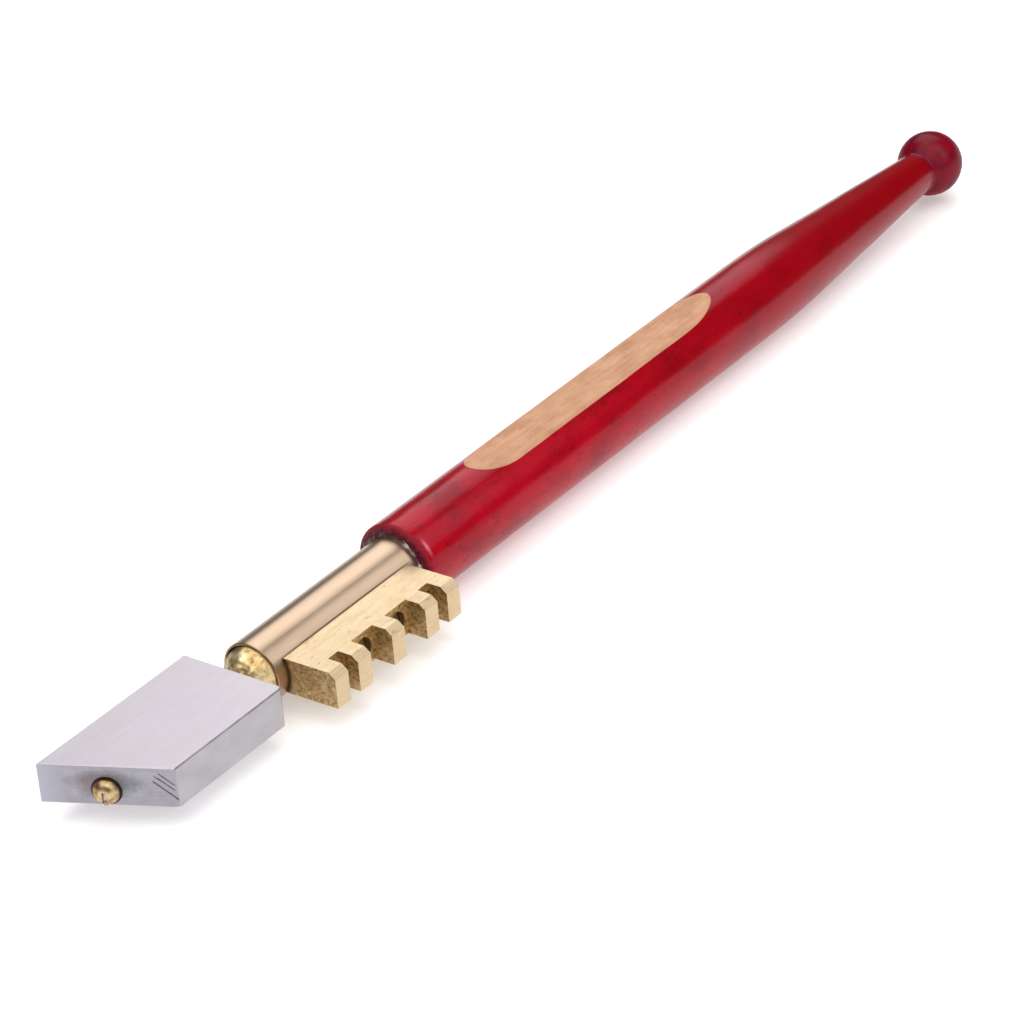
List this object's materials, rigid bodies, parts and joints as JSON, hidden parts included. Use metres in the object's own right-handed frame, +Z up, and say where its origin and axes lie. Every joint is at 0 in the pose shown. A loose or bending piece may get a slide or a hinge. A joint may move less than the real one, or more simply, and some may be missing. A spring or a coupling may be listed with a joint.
{
  "type": "glass cutter",
  "caption": "Diamond glass cutter: slanted metal head that swivels on a brass ferrule, a notched breaking comb and a turned red wooden handle with a planed flat and a ball end.",
  "frame": {"origin": "on the tool's axis, 10 mm behind the handle's front face, on the round land where a clip or sleeve holds the handle", "axes": "+X along the tool from the head to the ball end, +Z up through the planed flat of the handle, comb teeth towards -Y"},
  "size_m": [0.18, 0.0173, 0.0106],
  "materials": {
    "lacquered_wood": "transparent red lacquer over turned wood, bare on the planed flat",
    "glue": "dried whitish glue",
    "ferrule_brass": "satin, drawn lengthwise",
    "core_brass": "rough turned",
    "screw_steel": "dull",
    "spring_steel": "bright wire",
    "comb_brass": "milled and sawn",
    "screw_brass": "dull",
    "head_metal": "ground satin",
    "stem_steel": "turned",
    "stud_brass": "turned, worn",
    "solder": "dark solder",
    "diamond": "grey industrial diamond",
    "braze": "rough silver braze"
  },
  "bodies": {
    "grip": {"handle": "lacquered_wood", "glue_bead": "glue", "ferrule_tube": "ferrule_brass", "ferrule_core": "core_brass", "swivel_stop_screw": "screw_steel", "stem_spring": "spring_steel", "comb_bar": "comb_brass", "comb_screws": "screw_brass"},
    "head": {"head_block": "head_metal", "swivel_stem": "stem_steel", "setting_stud": "stud_brass", "setting_solder": "solder", "diamond": "diamond", "diamond_braze": "braze"}
  },
  "joints": [
    {"name": "head_swivel", "type": "hinge", "parent": "grip", "child": "head", "pos_m": [-0.0392, 0, 0], "axis": [1, 0, 0], "range_deg": [-10, 10]}
  ]
}
